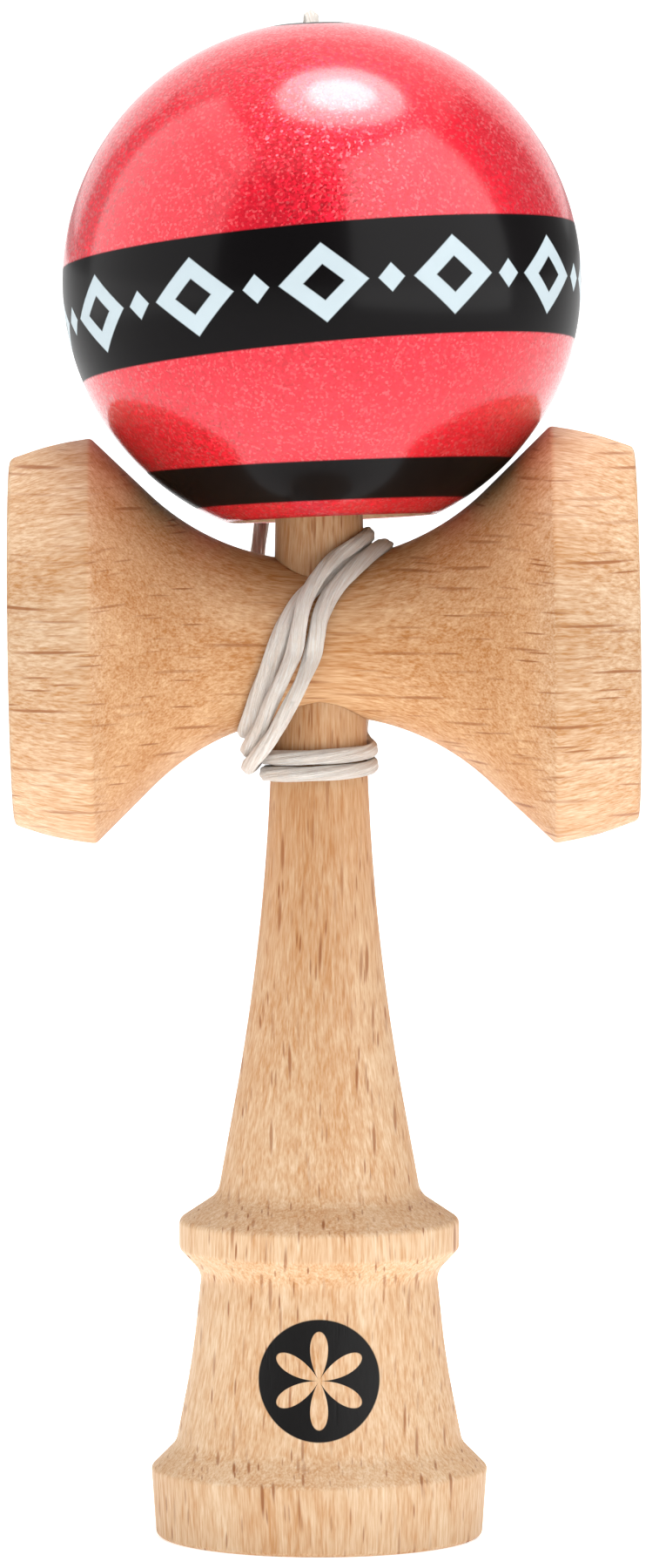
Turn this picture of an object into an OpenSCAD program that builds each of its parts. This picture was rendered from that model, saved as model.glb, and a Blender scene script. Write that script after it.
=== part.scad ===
// Kendama: a turned handle with a spike, a cross-piece with two cups, a bored ball and its string.
// Millimetres, +Z up. The origin is the centre of the foot, on the surface that the toy stands on.
// The front of the toy faces -Y, and its big cup faces +X.

/* [Foot] */
// Widest diameter of the foot band, at its upper edge
foot_d = 39.2; // [36:0.2:44]
// Diameter of the foot where it rests
foot_rest_d = 38; // [35.6:0.2:40]
// Height of the foot band
foot_h = 8; // [5:0.5:12]
// Height of the slope from the foot band to the body
foot_slope_h = 2.9; // [2:0.1:5]
// Radius that breaks the outer edges of the foot
foot_edge_r = 0.7; // [0.3:0.1:1.2]
// Width of the resting ring round the cup in the underside
base_land = 2.5; // [2:0.1:5]
// Depth of the cup in the underside
base_cup_depth = 7; // [4:0.5:9]

/* [Body and collar] */
// Diameter of the body where it meets the foot's slope
body_d = 33.4; // [30:0.2:35]
// Diameter to which the body draws in at half its height
body_mid_d = 29.5; // [27:0.1:30]
// Diameter of the body below the collar
body_top_d = 27.4; // [24:0.2:28.4]
// Height of the body between the foot's slope and the collar
body_h = 20; // [14:0.5:30]
// Length of the hollow curve between the body's two tapers
body_curve_h = 8; // [4:0.5:14]
// Height of the slope under the collar
collar_under_h = 2.8; // [2:0.1:4]
// Diameter of the collar
collar_d = 32.6; // [30:0.2:38]
// Height of the collar band
collar_h = 3.3; // [2.6:0.1:6]
// Height of the slope above the collar
collar_slope_h = 3; // [2:0.1:4.5]
// Radius that breaks the collar's edges
collar_edge_r = 0.9; // [0.3:0.1:1.2]
// Radius of the fillets where slopes run into the body or the grip
cove_r = 2.6; // [1:0.1:3]

/* [Grip and spike] */
// Diameter of the grip above the collar
grip_d = 23.6; // [20:0.2:26]
// Diameter to which the grip's two tapers draw in where they meet
grip_mid_d = 12.6; // [11.6:0.1:14]
// Height of the grip, from the collar's slope to the neck
grip_h = 52; // [45:1:65]
// Length of the hollow curve between the grip's two tapers
grip_curve_h = 40; // [20:1:42]
// Diameter of the neck, where the long taper to the spike starts
neck_d = 11.1; // [10:0.1:12]
// Height from the neck to the middle of the cross-piece
seat_h = 12.8; // [12:0.1:16]
// Height of the spike above the middle of the cross-piece
spike_h = 48.6; // [44:0.2:54]
// Diameter of the spike where its tip starts to round
spike_d = 9.2; // [8:0.1:10]
// Height of the rounded tip
tip_h = 6.5; // [4:0.5:9]
// Diameter of the flat at the very tip
tip_flat_d = 2.6; // [1.6:0.2:4]

/* [Cross-piece] */
// Diameter of the cross-piece at its waist
waist_d = 18; // [17.6:0.2:22]
// Distance from the middle at which the line of a flank meets the waist
waist_reach = 11.3; // [9:0.1:13]
// Lean of the cross-piece on its taper, big cup upwards, in degrees
cross_lean = 0.8; // [0:0.1:2]
// Reach of the big cup's rim from the middle
big_reach = 36.8; // [34:0.2:42]
// Distance of the big cup's ridge from the middle
big_ridge_x = 27.1; // [25:0.1:29]
// Diameter of the big cup's ridge
big_ridge_d = 48.4; // [46:0.2:52]
// Outer diameter of the big cup's rim
big_rim_d = 43.2; // [41:0.2:45]
// Width of the big cup's flat rim
big_land = 2.1; // [1.6:0.1:4]
// Depth of the big cup
big_cup_depth = 11; // [7:0.5:13]
// Reach of the small cup's rim from the middle
small_reach = 35.6; // [33:0.2:40]
// Distance of the small cup's ridge from the middle
small_ridge_x = 26.2; // [24:0.1:28]
// Diameter of the small cup's ridge
small_ridge_d = 47; // [45:0.2:51]
// Outer diameter of the small cup's rim
small_rim_d = 42.4; // [40:0.2:44]
// Width of the small cup's flat rim
small_land = 2.7; // [1.6:0.1:4]
// Depth of the small cup
small_cup_depth = 10.5; // [7:0.5:12]
// Swell of the rim bands over a straight cone
rim_swell = 0.45; // [0:0.05:0.8]
// Radius that breaks the edges of the ridges and rims
rim_edge_r = 0.8; // [0.3:0.1:1]

/* [Ball] */
// Diameter of the ball
ball_d = 60; // [56:1:64]
// Diameter of the ball's hole
hole_d = 21; // [19:0.5:24]
// Width of the bevel round the mouth of the hole
bevel_w = 1.7; // [1:0.1:2.5]
// Depth of the bevel
bevel_h = 1.5; // [1:0.1:2.5]
// Depth of the straight hole below the mouth
hole_depth = 39.9; // [38:0.1:42]
// Half of the drill's point angle at the end of the hole, in degrees
drill_half_angle = 59; // [45:1:65]
// Diameter of the string hole through the top of the ball
string_hole_d = 3.2; // [2.6:0.1:4]
// Radius that rounds the rim of the string hole
string_rim_r = 2.4; // [1:0.1:2.8]
// Backward lean of the ball on the spike, in degrees
ball_lean_back = 4.7; // [0:0.1:6]
// Sideways lean of the ball on the spike, away from the big cup, in degrees
ball_lean_side = 2.4; // [0:0.1:3]

/* [Bead] */
// Diameter of the stop bead inside the ball
bead_d = 8; // [6:0.5:10]
// Diameter of the hole through the bead
bead_hole_d = 2.4; // [2.2:0.1:3]

/* [String] */
// Diameter of the string
string_d = 1.7; // [1.4:0.1:1.8]
// Diameter of the end knots
knot_d = 3.6; // [3:0.1:4]
// Thickness of the end knots, drawn tight
knot_h = 2; // [1.6:0.1:2.2]
// Turns over the crossing
cross_turns = 3; // [2:1:3]
// Turns round the neck below the crossing
neck_turns = 2; // [1:1:2]
// Gap between two turns where they lie side by side
turn_gap = 0.62; // [0.6:0.01:0.8]

/* [Fits] */
// Clearance all round the taper in the cross-piece
taper_clear = 0.06; // [0.02:0.01:0.15]
// Gap between the string or its knots and the wood
string_clear = 0.2; // [0.1:0.05:0.3]
// Gap between the bead and the ball, and between the spike's tip and the knot
running_clear = 0.3; // [0.2:0.05:0.5]

/* [Hidden] */
$fn = 96;
overrun = 1;
arc_step = 6;
beech = [0.87, 0.72, 0.53];
cotton = [0.93, 0.89, 0.82];

// Heights along the handle, stacked from the foot
body_z = foot_h + foot_slope_h;
body_top_z = body_z + body_h;
collar_z = body_top_z + collar_under_h;
collar_top_z = collar_z + collar_h;
grip_z = collar_top_z + collar_slope_h;
neck_z = grip_z + grip_h;
cross_z = neck_z + seat_h;
ken_h = cross_z + spike_h;
tip_z = ken_h - tip_h;
body_mid_share = 0.5;
grip_mid_share = 0.58;
base_cup_d = foot_rest_d - 2 * base_land;

// A direction of length 1
function unit(v) = v / norm(v);

// The direction of v, or where v has no length the direction square to w
function square_part(v, w) = norm(v) > 0 ? unit(v) : unit([-w.y, w.x]);

// Angle from a to b, turned the short way
function short_turn(a, b) = let (d = (b - a) % 360) d > 180 ? d - 360 : d < -180 ? d + 360 : d;

// The arc of radius r that rounds the corner b between a and c
function corner_arc(a, b, c, r) =
    let (
        u = unit(a - b),
        v = unit(c - b),
        half = acos(max(-1, u * v)) / 2,
        centre = b + square_part(u + v, c - a) * r / sin(half),
        from = b + u * r / tan(half) - centre,
        to = b + v * r / tan(half) - centre,
        start = atan2(from.y, from.x),
        turn = short_turn(start, atan2(to.y, to.x)),
        steps = max(2, ceil(abs(turn) / arc_step))
    )
    [for (k = [0:steps]) centre + r * [cos(start + turn * k / steps), sin(start + turn * k / steps)]];

// The long soft curve that starts and ends at the given reach from the corner b between a and c
curve_steps = 8;
function corner_curve(a, b, c, reach) =
    [for (k = [0:curve_steps]) let (t = k / curve_steps)
        b + unit(a - b) * reach * pow(1 - t, 2) + unit(c - b) * reach * pow(t, 2)];

// An outline through corners of the form [x, y, radius], or [x, y, 0, reach] for a long soft curve,
// with both ends kept sharp
function rounded(c) = [
    for (i = [0:len(c) - 1])
        let (p = [c[i].x, c[i].y])
        if (i == 0 || i == len(c) - 1) p
        else let (a = [c[i - 1].x, c[i - 1].y], b = [c[i + 1].x, c[i + 1].y])
            each c[i].z > 0 ? corner_arc(a, p, b, c[i].z) : corner_curve(a, p, b, c[i][3])
];

// Points of a round dish from its mouth edge to its middle, as [radius, height below the mouth]
function dish(mouth_d, depth) =
    let (
        m = mouth_d / 2,
        r = (m * m + depth * depth) / (2 * depth),
        reach = asin(m / r),
        steps = ceil(reach / arc_step) * 2
    )
    [for (k = [0:steps]) let (a = reach * (1 - k / steps)) [r * sin(a), r * cos(a) - r + depth]];

// Outer side of the handle, from the resting ring to the tip
ken_side = rounded([
    [base_cup_d / 2, 0],
    [foot_rest_d / 2, 0, foot_edge_r],
    [foot_d / 2, foot_h, foot_edge_r],
    [body_d / 2, body_z, cove_r],
    [body_mid_d / 2, body_z + body_h * body_mid_share, 0, body_curve_h / 2],
    [body_top_d / 2, body_top_z, cove_r],
    [collar_d / 2, collar_z, collar_edge_r],
    [collar_d / 2, collar_top_z, collar_edge_r],
    [grip_d / 2, grip_z, cove_r],
    [grip_mid_d / 2, grip_z + grip_h * grip_mid_share, 0, grip_curve_h / 2],
    [neck_d / 2, neck_z, grip_h],
    [spike_d / 2, tip_z, tip_h],
    [tip_flat_d / 2, ken_h, tip_flat_d / 2],
    [0, ken_h]
]);

// Radius of the long taper at height z
function taper_r(z) = (neck_d + (spike_d - neck_d) * (z - neck_z) / (tip_z - neck_z)) / 2;

module ken() {
    base_dish = [for (p = dish(base_cup_d, base_cup_depth)) [p.x, p.y]];
    color(beech)
        rotate_extrude()
            polygon(concat([for (k = [len(base_dish) - 1:-1:0]) base_dish[k]], ken_side));
}

// Lean of a flank's line from the cross-piece's axis, and radius of the waist's curve that runs into it
function flank_turn(ridge_x, ridge_d) = atan2((ridge_d - waist_d) / 2, ridge_x - waist_reach);
function waist_r(turn) = waist_reach / tan(turn / 2);

// Half of the cross-piece's outline, from the waist to the middle of a cup, as [radius, distance]
band_curve_share = 0.3;
function cup_half(reach, ridge_x, ridge_d, rim_d, cup_d, cup_depth) =
    let (
        turn = flank_turn(ridge_x, ridge_d),
        r = waist_r(turn),
        hub = waist_d / 2 + r,
        steps = ceil(turn / arc_step),
        waist = [for (k = [0:steps]) let (a = turn * k / steps) [hub - r * cos(a), r * sin(a)]],
        middle = [(ridge_d + rim_d) / 4 + rim_swell, (ridge_x + reach) / 2],
        edge = rounded([
            waist[steps],
            [ridge_d / 2, ridge_x, rim_edge_r],
            [middle.x, middle.y, 0, (reach - ridge_x) * band_curve_share],
            [rim_d / 2, reach, rim_edge_r],
            [cup_d / 2, reach]
        ]),
        bowl = [for (p = dish(cup_d, cup_depth)) [p.x, reach - p.y]]
    )
    concat(waist, [for (k = [1:len(edge) - 1]) edge[k]], [for (k = [1:len(bowl) - 1]) bowl[k]]);

big_cup_d = big_rim_d - 2 * big_land;
small_cup_d = small_rim_d - 2 * small_land;
big_half = cup_half(big_reach, big_ridge_x, big_ridge_d, big_rim_d, big_cup_d, big_cup_depth);
small_half = cup_half(small_reach, small_ridge_x, small_ridge_d, small_rim_d, small_cup_d,
                      small_cup_depth);

// The string hole leaves the cross-piece at the back, low and towards the big cup
string_hole_turn = 25;
string_hole_drop_share = 0.25;
string_hole_drop = string_hole_drop_share * waist_d;
hole_way = [sin(string_hole_turn), cos(string_hole_turn), 0];
hole_z = cross_z - string_hole_drop;
knot_seat = taper_r(hole_z) + string_clear;

// Turns a solid that stands on the origin so that it lies along the string hole
module along_string_hole(distance) {
    translate(hole_way * distance + [0, 0, hole_z])
        rotate([-90, 0, -string_hole_turn])
            children();
}

module sarado() {
    bore_r0 = taper_r(cross_z - waist_d) + taper_clear;
    bore_r1 = taper_r(cross_z + waist_d) + taper_clear;
    color(beech)
        difference() {
            translate([0, 0, cross_z])
                rotate([0, 90 - cross_lean, 0])
                    rotate_extrude()
                        polygon(concat(
                            [for (k = [len(small_half) - 1:-1:1]) [small_half[k].x, -small_half[k].y]],
                            big_half
                        ));
            translate([0, 0, cross_z - waist_d])
                cylinder(h = 2 * waist_d, r1 = bore_r0, r2 = bore_r1);
            along_string_hole(0)
                cylinder(h = waist_d, d = string_d + 4 * string_clear);
            along_string_hole(0)
                cylinder(h = knot_seat + knot_h + string_clear, d = knot_d + 2 * string_clear);
        }
}

// A tight end knot: a round-edged button that stands on the origin
module knot() {
    knot_round_share = 0.35;
    color(cotton)
        rotate_extrude()
            polygon(rounded([
                [0, 0],
                [knot_d / 2, 0, knot_h * knot_round_share],
                [knot_d / 2, knot_h, knot_h * knot_round_share],
                [0, knot_h]
            ]));
}

module anchor_knot() {
    along_string_hole(knot_seat)
        knot();
}

// The ball's own axis runs through its hole, and these are distances along it from the ball's centre
mouth_d = hole_d + 2 * bevel_w;
mouth_at = -sqrt(pow(ball_d / 2, 2) - pow(mouth_d / 2, 2));
hole_end_at = mouth_at + hole_depth;
point_at = hole_end_at + hole_d / 2 / tan(drill_half_angle);
bead_at = point_at - (bead_d / 2 + running_clear) / sin(drill_half_angle);
knot_at = bead_at - bead_d / 2 - string_clear - knot_h;
ball_axis = [-sin(ball_lean_side) * cos(ball_lean_back), sin(ball_lean_back),
             cos(ball_lean_side) * cos(ball_lean_back)];

// The ball rests through its bead and knot on the spike's tip
ball_at = [0, 0, ken_h + running_clear] - ball_axis * knot_at;

// Stands what is drawn along +Z on the ball's centre and axis
module on_ball_axis() {
    translate(ball_at)
        rotate([-ball_lean_back, -ball_lean_side, 0])
            children();
}

module tama() {
    hole_r = string_hole_d / 2;
    rim_at = sqrt(pow(ball_d / 2, 2) - pow(hole_r + string_rim_r, 2));
    hole_side = concat(
        [
            [0, -ball_d / 2 - overrun],
            [mouth_d / 2, -ball_d / 2 - overrun],
            [mouth_d / 2, mouth_at],
            [hole_d / 2, mouth_at + bevel_h],
            [hole_d / 2, hole_end_at],
            [hole_r, point_at - hole_r / tan(drill_half_angle)]
        ],
        [for (a = [0:arc_step:90])
            [hole_r + string_rim_r * (1 - cos(a)), rim_at - string_rim_r * (1 - sin(a))]],
        [[hole_r + string_rim_r, ball_d / 2 + overrun], [0, ball_d / 2 + overrun]]
    );
    color([0.86, 0.2, 0.27])
        on_ball_axis()
            difference() {
                sphere(d = ball_d);
                rotate_extrude()
                    polygon(hole_side);
            }
}

module bead() {
    color([0.9, 0.85, 0.75])
        on_ball_axis()
            translate([0, 0, bead_at])
                difference() {
                    sphere(d = bead_d);
                    cylinder(h = bead_d, d = bead_hole_d, center = true);
                }
}

module bead_knot() {
    on_ball_axis()
        translate([0, 0, knot_at])
            knot();
}

// The string inside the ball, from the knot below the bead up into the string hole
tail_top_at = ball_d / 2 - 2 * string_rim_r;

module string_tail() {
    color(cotton)
        on_ball_axis()
            translate([0, 0, knot_at + knot_h])
                cylinder(h = tail_top_at - knot_at - knot_h, d = string_d);
}

// Direction of a path at point i
function heading(p, i) = unit(p[min(i + 1, len(p) - 1)] - p[max(i - 1, 0)]);

// The part of v that is square to t
function square_to(v, t) = unit(v - (v * t) * t);

// One side direction for each point, carried along the path without twisting
function sides_along(p, first) = [
    for (i = 0, n = square_to(first, heading(p, 0)); i < len(p);
         i = i + 1, n = square_to(n, heading(p, min(i, len(p) - 1)))) n
];

// A closed tube of n sides along a path
module tube(path, d, n, first) {
    last = len(path) - 1;
    side = sides_along(path, first);
    points = [
        for (i = [0:last], k = [0:n - 1])
            let (t = heading(path, i), a = 360 * k / n)
            path[i] + d / 2 * (cos(a) * side[i] + sin(a) * cross(t, side[i]))
    ];
    skin = [
        for (i = [0:last - 1], k = [0:n - 1])
            let (a = i * n + k, b = i * n + (k + 1) % n)
            each [[a, a + n, b], [b, a + n, b + n]]
    ];
    ends = [
        for (k = [1:n - 2])
            each [[0, k, k + 1], [last * n, last * n + k + 1, last * n + k]]
    ];
    polyhedron(points, concat(skin, ends));
}

// The lead: up from the crossing behind the ball, over its back and into its string hole
lead_route = [
    [-9, 10.2, 99.2], [-8.8, 11, 100.8], [-8.3, 13.2, 105], [-7.7, 15.4, 109.4], [-7.2, 17.7, 113.9],
    [-6.6, 20, 118.4], [-6.1, 22.3, 122.9], [-5.5, 24.6, 127.4], [-5, 26.8, 131.8], [-4.5, 28.6, 136],
    [-4, 29.8, 140.3], [-3.6, 30.4, 144.7], [-3.2, 30.3, 149.1], [-2.8, 29.6, 153.5], [-2.4, 28.3, 157.7],
    [-2.1, 26.4, 161.7], [-1.8, 23.9, 165.4], [-1.6, 20.9, 168.7], [-1.4, 17.4, 171.6], [-1.2, 13.5, 174],
    [-1, 9.1, 176], [-0.95, 5.6, 176.9], [-0.95, 3.9, 176.5], [-0.9, 2.3, 175.1], [-0.85, 1.74, 173.97],
    [-0.8, 1.58, 172.88], [-0.73, 1.44, 171.26]
];

module string_lead() {
    color(cotton)
        tube(lead_route, string_d, 8, [1, 0, 0]);
}

// The winding. Its turns lie this far from the wood and from each other, middle to middle
hug = string_d / 2 + string_clear;
turn_pitch = string_d + turn_gap;
turn_step = 15;

// A soft step from 0 to 1 as t goes from 0 to 1
function ease(t) = let (k = min(1, max(0, t))) k * k * (3 - 2 * k);

// n points of a smooth bridge from p, leaving along v, to q, arriving along w
function bridge(p, v, q, w, n) = [
    for (k = [1:n])
        let (t = k / (n + 1), e = ease(t))
        p * (1 - e) + q * e + v * t * (1 - t) * (1 - t) - w * t * t * (1 - t)
];

// Radius of the handle at height z, above its collar
function ken_r(z) = lookup(z, [for (p = ken_side) if (p.y > grip_z) [p.y, p.x]]);

// Radius of the cross-piece, and height of its axis, at a distance x from its middle
function cross_r(x) = lookup(abs(x), [for (p = x < 0 ? small_half : big_half) [p.y, p.x]]);
function cross_axis_z(x) = cross_z + x * sin(cross_lean);

// The string leaves its hole and turns down, over the angle a
hole_bend_share = 1.4;
hole_bend_r = hole_bend_share * string_d;
winding_start = hole_way * (knot_seat + knot_h) + [0, 0, hole_z];
winding_out = winding_start + hole_way * (string_d + string_clear);
function hole_bend(a) = winding_out + hole_bend_r * (hole_way * sin(a) + [0, 0, cos(a) - 1]);

// Turns round the neck, downwards: angle 0 is the big-cup side, 90 the front, 180 the small-cup side
neck_turn_z = cross_z - waist_d / 2 - 2 * string_d;
neck_spread_share = 1.5;
neck_pitch = turn_pitch + neck_spread_share * string_clear;
function neck_point(a) =
    let (
        z = neck_turn_z - neck_pitch * a / 360,
        r = ken_r(z) + hug
    )
    [r * cos(a), -r * sin(a), z];

// One loop over the crossing, a little off the wood
// Angle 0 is beside the spike, 90 the front and 180 beside the neck
cross_lift_share = 0.6;
cross_bulge_share = 1.75;
cross_lift = cross_lift_share * turn_pitch;
cross_pitch = sqrt(pow(turn_pitch, 2) - pow(cross_lift, 2));
cross_bulge = cross_bulge_share * string_d;
cross_hug = hug + string_clear;
point_share = 0.96;
spike_side_x = taper_r(cross_z + waist_d / 2) + hug + string_clear / 2 - cross_pitch / 2;
outer_r = ken_r(neck_turn_z - neck_turns * neck_pitch) + hug + turn_pitch;
saddle_slope = (spike_side_x + turn_pitch) / waist_r(flank_turn(big_ridge_x, big_ridge_d));
function loop_point(a) =
    let (
        ramp = asin(point_share * cos(a)) / asin(point_share),
        x0 = (spike_side_x - outer_r) / 2 + (spike_side_x + outer_r) / 2 * ramp,
        x = x0 - cross_bulge * pow(sin(a), 2),
        r = cross_r(x) + cross_hug
    )
    [x, -r * sin(a), cross_axis_z(x) + r * cos(a)];
function loop_way(a) = unit(loop_point(a + 1) - loop_point(a - 1));
function loop_out(a) =
    let (up = max(0, cos(a)))
    [min(0, cos(a)) - saddle_slope * up, -sin(a), up];

// Keeps a point at least r from the handle's axis
function clear_of_axis(p, r) =
    let (grow = max(1, r / norm([p.x, p.y])))
    [p.x * grow, p.y * grow, p.z];

// Keeps a point off the cross-piece
function clear_of_cross(p) =
    let (
        v = [p.y, p.z - cross_axis_z(p.x)],
        grow = max(1, (cross_r(p.x) + cross_hug) / norm(v))
    )
    [p.x, v.x * grow, cross_axis_z(p.x) + v.y * grow];

// The turns over the crossing lie side by side, and the middle one rides on the other two
cross_edge_turn = 150;
cross_edge_share = 0.6;
ride_turn = 60;
function cross_point(a) =
    let (
        t = loop_way(a),
        side = unit(cross(loop_out(a), t)),
        out = cross(t, side),
        on_cross = ease((cos(a) - cos(cross_edge_turn)) / cross_edge_share),
        rides = ease((a - cross_edge_turn) / ride_turn) - ease((a - cross_edge_turn - 360) / ride_turn),
        pitch = neck_pitch + (cross_pitch - neck_pitch) * on_cross,
        turns_to_go = cross_turns - 0.5 - a / 360,
        p = loop_point(a) + side * pitch * turns_to_go + out * cross_lift * on_cross * rides,
        near_neck = ease((neck_turn_z + 2 * turn_pitch - p.z) / turn_pitch)
    )
    clear_of_cross(clear_of_axis(p, max(outer_r * near_neck, ken_r(p.z) + hug + string_clear / 2)));

neck_from = 0;
neck_to = neck_turns * 360 - 135;
cross_from = -75;
cross_to = cross_turns * 360 - 165;
lead_way = unit(lead_route[1] - lead_route[0]);
winding_in = lead_route[0] - string_d * lead_way;
neck_in = unit(neck_point(neck_from + 1) - neck_point(neck_from));
neck_out = unit(neck_point(neck_to + 1) - neck_point(neck_to));
rise = unit(cross_point(cross_from + 1) - cross_point(cross_from));
under = unit(cross_point(cross_to) - cross_point(cross_to - 1));
hole_bend_to = 130;
hole_bend_steps = 5;
bent = unit(hole_bend(hole_bend_to) - hole_bend(hole_bend_to - 1));
pull_share = 7;
rise_share = 2.5;
under_share = 4;
pull = pull_share * string_d;
under_pull = under_share * string_d;
winding_path = concat(
    [winding_start],
    [for (k = [0:hole_bend_steps]) hole_bend(hole_bend_to * k / hole_bend_steps)],
    bridge(hole_bend(hole_bend_to), bent * pull, neck_point(neck_from), neck_in * pull, 3),
    [for (a = [neck_from:turn_step:neck_to]) neck_point(a)],
    bridge(neck_point(neck_to), neck_out * rise_share * pull, cross_point(cross_from), rise * 2 * pull, 6),
    [for (a = [cross_from:turn_step:cross_to]) cross_point(a)],
    bridge(cross_point(cross_to), under * under_pull, winding_in, lead_way * under_pull, 2),
    [winding_in, lead_route[0]]
);

// Distance of a point from the stretch between two others
function to_stretch(q, a, b) =
    let (t = min(1, max(0, (q - a) * (b - a) / ((b - a) * (b - a)))))
    norm(q - a - t * (b - a));

// Least gap of the winding to itself, past the nearest points of its own run
near_points = 5;
winding_gap = min([
    for (i = [0:len(winding_path) - 1], j = [0:len(winding_path) - 2])
        if (abs(i - j) > near_points) to_stretch(winding_path[i], winding_path[j], winding_path[j + 1])
]) - string_d;
echo(winding_gap = winding_gap);

module string_winding() {
    color(cotton)
        tube(winding_path, string_d, 6, [0, 0, 1]);
}

ken();
sarado();
tama();
bead();
anchor_knot();
string_winding();
string_lead();
string_tail();
bead_knot();
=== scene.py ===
import math
import bmesh
import bpy
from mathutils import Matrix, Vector


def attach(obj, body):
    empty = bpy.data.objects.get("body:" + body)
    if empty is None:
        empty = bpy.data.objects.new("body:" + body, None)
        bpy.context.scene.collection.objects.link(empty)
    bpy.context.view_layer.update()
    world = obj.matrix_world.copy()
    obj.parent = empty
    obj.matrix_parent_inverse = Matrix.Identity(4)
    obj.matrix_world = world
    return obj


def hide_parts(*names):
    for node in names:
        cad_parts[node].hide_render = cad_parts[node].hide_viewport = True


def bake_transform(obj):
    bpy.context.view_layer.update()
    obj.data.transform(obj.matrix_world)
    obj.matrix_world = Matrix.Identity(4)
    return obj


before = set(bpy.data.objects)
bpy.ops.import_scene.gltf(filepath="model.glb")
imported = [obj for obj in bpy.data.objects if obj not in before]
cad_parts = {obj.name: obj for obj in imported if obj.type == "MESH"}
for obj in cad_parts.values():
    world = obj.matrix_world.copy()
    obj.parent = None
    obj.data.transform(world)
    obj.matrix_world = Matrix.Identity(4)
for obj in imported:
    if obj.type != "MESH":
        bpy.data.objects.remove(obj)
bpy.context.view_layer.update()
scene = bpy.context.scene

# The studio: a glowing white floor, a bright soft box in a paler halo under a wide canopy, and a panel in
# front. On either side a dim panel lights the wood, and a strong one shows only as a reflection, as does
# the one behind. The camera stands a little above the toy and looks slightly down at its front.
scene.view_settings.view_transform = "Standard"
scene.view_settings.look = "None"

camera_data = bpy.data.cameras.new("camera")
camera_data.sensor_fit = "VERTICAL"
camera_data.sensor_height = 36
camera_data.lens = 262
camera_data.clip_end = 50
camera = bpy.data.objects.new("camera", camera_data)
camera.location = (0.0012, -1.32, 0.1975)
aim = Vector((0.0012, 0, 0.0878))
camera.rotation_euler = (aim - camera.location).to_track_quat("-Z", "Y").to_euler()
scene.collection.objects.link(camera)
scene.camera = camera


def soft_box(name, place, target, width, depth, power, shape="RECTANGLE", lights_matt=True, shines=True):
    """An area light. It can be kept off matt surfaces, or out of reflections."""
    data = bpy.data.lights.new(name, "AREA")
    data.shape = shape
    data.size = width
    data.size_y = depth
    data.energy = power
    light = bpy.data.objects.new(name, data)
    light.location = place
    light.visible_diffuse = lights_matt
    light.visible_glossy = shines
    light.rotation_euler = (Vector(target) - Vector(place)).to_track_quat("-Z", "Y").to_euler()
    scene.collection.objects.link(light)


soft_box("overhead_core", (0.08, 0.03, 0.92), (0.01, 0, 0.1), 0.26, 0.3, 2.4, "ELLIPSE")
soft_box("overhead_halo", (0.08, 0.03, 0.93), (0.01, 0, 0.1), 0.5, 0.58, 5.6, "ELLIPSE")
soft_box("overhead_canopy", (0, 0.3, 1.3), (0, 0.3, 0.1), 1.8, 2.4, 8)
soft_box("front_panel", (0.1, -1.15, 1.35), (0, 0, 0.08), 1.2, 0.8, 8.5, shines=False)
soft_box("left_panel", (-0.78, -0.1, 0.45), (0, -0.1, 0.2), 1.25, 0.9, 1.2)
soft_box("right_panel", (0.62, -0.5, 0.45), (0, -0.05, 0.2), 1.3, 0.9, 0.75)
soft_box("left_shine", (-0.78, -0.1, 0.8), (0, -0.1, 0.8), 1.25, 1.6, 10.5, lights_matt=False)
soft_box("back_shine", (0, 1.2, 0.65), (0, 0, 0.3), 1.8, 0.85, 3.9, lights_matt=False)
soft_box("right_shine", (0.62, -0.5, 0.8), (0, -0.05, 0.8), 1.3, 1.6, 21, lights_matt=False)

world = bpy.data.worlds.new("studio")
world.use_nodes = True
sky = world.node_tree
gaze = sky.nodes.new("ShaderNodeTexCoord")
height = sky.nodes.new("ShaderNodeSeparateXYZ")
fade = sky.nodes.new("ShaderNodeMapRange")
fade.inputs["From Min"].default_value = 0.08
fade.inputs["From Max"].default_value = 0.9
fade.inputs["To Min"].default_value = 0.42
fade.inputs["To Max"].default_value = 0.3
sky.links.new(gaze.outputs["Generated"], height.inputs[0])
sky.links.new(height.outputs["Z"], fade.inputs["Value"])
sky.links.new(fade.outputs[0], sky.nodes["Background"].inputs["Strength"])
sky.nodes["Background"].inputs["Color"].default_value = (1, 0.99, 0.98, 1)
scene.world = world

floor_half = 40.0
floor_mesh = bpy.data.meshes.new("studio_floor")
floor_mesh.from_pydata([(-floor_half, -floor_half, 0), (floor_half, -floor_half, 0),
                        (floor_half, floor_half, 0), (-floor_half, floor_half, 0)], [], [(0, 1, 2, 3)])
floor_white = bpy.data.materials.new("floor_white")
floor_white.use_nodes = True
floor_bsdf = floor_white.node_tree.nodes["Principled BSDF"]
floor_bsdf.inputs["Base Color"].default_value = (0.9, 0.9, 0.9, 1)
floor_bsdf.inputs["Roughness"].default_value = 0.9
floor_bsdf.inputs["Emission Color"].default_value = (1, 1, 1, 1)
floor_nodes = floor_white.node_tree
floor_place = floor_nodes.nodes.new("ShaderNodeTexCoord")
floor_reach = floor_nodes.nodes.new("ShaderNodeVectorMath")
floor_reach.operation = "LENGTH"
floor_nodes.links.new(floor_place.outputs["Object"], floor_reach.inputs[0])


def by_distance(near, far, at_near, at_far):
    """A value on the floor that changes with the distance from the toy, in m."""
    step = floor_nodes.nodes.new("ShaderNodeMapRange")
    for socket, value in zip(("From Min", "From Max", "To Min", "To Max"), (near, far, at_near, at_far)):
        step.inputs[socket].default_value = value
    floor_nodes.links.new(floor_reach.outputs["Value"], step.inputs["Value"])
    return step.outputs[0]


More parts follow.
